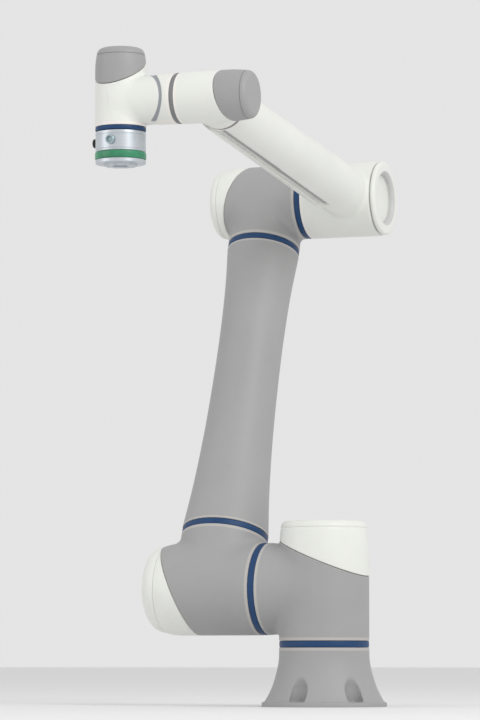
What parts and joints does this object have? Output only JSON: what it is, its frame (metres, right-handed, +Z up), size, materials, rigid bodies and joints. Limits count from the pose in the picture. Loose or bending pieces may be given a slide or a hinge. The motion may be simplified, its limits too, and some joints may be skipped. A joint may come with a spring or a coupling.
{
  "type": "collaborative robot arm",
  "caption": "Floor-mounted collaborative robot arm with round joint housings, a waisted upper arm, a straight forearm, slanted end caps and a lit tool flange.",
  "frame": {"origin": "centre of the base casting's flat bottom face", "axes": "+Z up along the base joint's axis; -Y is where the arm reaches at rest; the links are stacked towards -X"},
  "size_m": [0.496, 0.9569, 1.2577],
  "materials": {
    "grey_casting": "satin grey powder coat on cast aluminium",
    "grey_cover": "satin grey moulded cover",
    "white_casting": "satin white powder coat on cast aluminium",
    "white_cover": "satin white moulded cover",
    "blue_ring": "satin dark blue elastomer",
    "grey_ring": "satin grey elastomer",
    "silver_aluminium": "fine-turned, clear anodised",
    "plug_metal": "satin",
    "black_plastic": "fine textured",
    "led_diffuser": "translucent diffuser, lit green",
    "cable_jacket": "matte",
    "gear_steel": "ground",
    "rotor_steel": "turned",
    "winding_copper": "varnished winding in resin",
    "brake_black": "blackened"
  },
  "bodies": {
    "base": {"base_casting": "grey_casting", "base_connector_panel": "black_plastic", "joint1_seal_ring": "blue_ring", "joint1_gear_cup": "gear_steel"},
    "shoulder": {"shoulder_housing": "grey_casting", "shoulder_cap": "white_cover", "joint1_output_bearing": "gear_steel", "joint1_gear_ring": "gear_steel", "joint1_motor_stator": "winding_copper", "joint1_holding_brake": "brake_black", "joint2_seal_ring": "blue_ring", "joint2_gear_cup": "gear_steel"},
    "upper_arm": {"upper_arm_foot": "grey_casting", "upper_arm_cap": "white_cover", "lower_tube_ring": "blue_ring", "upper_arm_tube": "grey_casting", "upper_tube_ring": "blue_ring", "upper_arm_cable": "cable_jacket", "elbow_housing": "grey_casting", "elbow_cap": "white_cover", "joint2_output_bearing": "gear_steel", "joint2_gear_ring": "gear_steel", "joint2_motor_stator": "winding_copper", "joint2_holding_brake": "brake_black", "joint3_output_bearing": "gear_steel", "joint3_gear_ring": "gear_steel", "joint3_motor_stator": "winding_copper", "joint3_holding_brake": "brake_black"},
    "forearm": {"forearm_casting": "white_casting", "forearm_under_cover": "white_cover", "forearm_end_cover": "white_cover", "forearm_tube_ring": "grey_ring", "forearm_cable": "cable_jacket", "wrist_housing": "white_casting", "wrist_cap": "grey_cover", "joint3_seal_ring": "blue_ring", "joint3_gear_cup": "gear_steel", "joint4_output_bearing": "gear_steel", "joint4_gear_ring": "gear_steel", "joint4_motor_stator": "winding_copper", "joint4_holding_brake": "brake_black"},
    "head": {"head_housing": "white_casting", "head_cap": "grey_cover", "joint4_seal_ring": "grey_ring", "joint4_gear_cup": "gear_steel", "joint5_gear_ring": "gear_steel", "joint5_motor_stator": "winding_copper", "joint5_holding_brake": "brake_black"},
    "flange": {"flange_body": "silver_aluminium", "led_ring": "led_diffuser", "tool_flange": "silver_aluminium", "tool_connector_front": "plug_metal", "tool_connector_side": "black_plastic", "joint5_seal_ring": "blue_ring", "joint5_gear_cup": "gear_steel"},
    "rotor_1": {"joint1_motor_rotor": "rotor_steel"},
    "rotor_2": {"joint2_motor_rotor": "rotor_steel"},
    "rotor_3": {"joint3_motor_rotor": "rotor_steel"},
    "rotor_4": {"joint4_motor_rotor": "rotor_steel"},
    "rotor_5": {"joint5_motor_rotor": "rotor_steel"}
  },
  "joints": [
    {"name": "base_swing", "type": "hinge", "parent": "base", "child": "shoulder", "pos_m": [0, 0, 0.124], "axis": [0, 0, 1], "range_deg": [-360, 360]},
    {"name": "shoulder_pitch", "type": "hinge", "parent": "shoulder", "child": "upper_arm", "pos_m": [-0.123, 0, 0.235], "axis": [1, 0, 0], "range_deg": [-100, 140]},
    {"name": "elbow_pitch", "type": "hinge", "parent": "upper_arm", "child": "forearm", "pos_m": [-0.14, 0.29756, 1.05253], "axis": [1, 0, 0], "range_deg": [-253, 47]},
    {"name": "wrist_pitch", "type": "hinge", "parent": "forearm", "child": "head", "pos_m": [-0.098, -0.52626, 1.15368], "axis": [1, 0, 0], "range_deg": [-180, 180]},
    {"name": "tool_spin", "type": "hinge", "parent": "head", "child": "flange", "pos_m": [-0.22, -0.52626, 1.09968], "axis": [0, 0, 1], "range_deg": [-360, 360]},
    {"name": "motor_1_spin", "type": "hinge", "parent": "shoulder", "child": "rotor_1", "pos_m": [0, 0, 0.124], "axis": [0, 0, 1], "continuous": true},
    {"name": "motor_2_spin", "type": "hinge", "parent": "upper_arm", "child": "rotor_2", "pos_m": [-0.123, 0, 0.235], "axis": [1, 0, 0], "continuous": true},
    {"name": "motor_3_spin", "type": "hinge", "parent": "upper_arm", "child": "rotor_3", "pos_m": [-0.14, 0.29756, 1.05253], "axis": [1, 0, 0], "continuous": true},
    {"name": "motor_4_spin", "type": "hinge", "parent": "forearm", "child": "rotor_4", "pos_m": [-0.098, -0.52626, 1.15368], "axis": [1, 0, 0], "continuous": true},
    {"name": "motor_5_spin", "type": "hinge", "parent": "head", "child": "rotor_5", "pos_m": [-0.22, -0.52626, 1.09968], "axis": [0, 0, 1], "continuous": true}
  ],
  "couplings": [
    {"joint": "motor_1_spin", "follows": "base_swing", "ratio": 100},
    {"joint": "motor_2_spin", "follows": "shoulder_pitch", "ratio": 100},
    {"joint": "motor_3_spin", "follows": "elbow_pitch", "ratio": -100},
    {"joint": "motor_4_spin", "follows": "wrist_pitch", "ratio": -100},
    {"joint": "motor_5_spin", "follows": "tool_spin", "ratio": -100}
  ]
}
